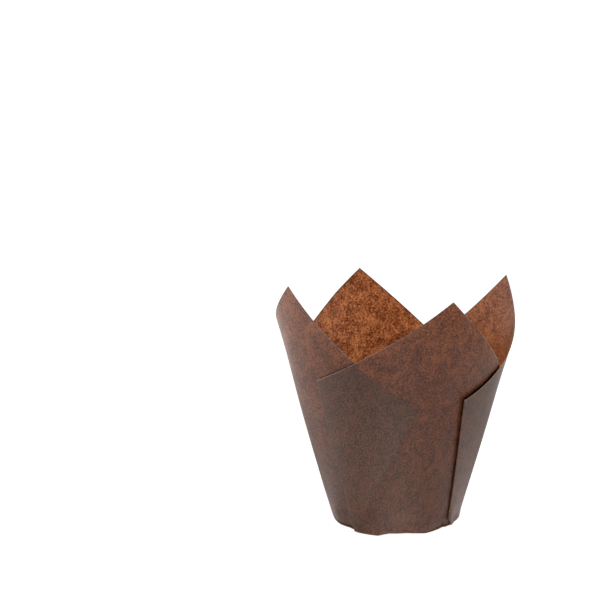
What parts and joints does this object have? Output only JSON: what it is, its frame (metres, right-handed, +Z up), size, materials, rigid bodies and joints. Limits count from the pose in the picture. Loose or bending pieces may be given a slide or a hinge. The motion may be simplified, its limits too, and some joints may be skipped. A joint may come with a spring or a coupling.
{
  "type": "cupcake liner",
  "caption": "Tulip cupcake liner: one square sheet of brown greaseproof paper folded into a tapered cup, with pleats laid round the wall and pointed petals.",
  "frame": {"origin": "centre of the round base, on its underside", "axes": "+Z up along the axis of the cup, -Y towards the front petal's side of the wall, +X to the right seen from there"},
  "size_m": [0.0937, 0.104, 0.0997],
  "materials": {
    "greaseproof_paper": "thin brown greaseproof paper, slightly translucent, mottled, with a soft sheen"
  },
  "bodies": {
    "root": {"liner": "greaseproof_paper"}
  },
  "joints": []
}
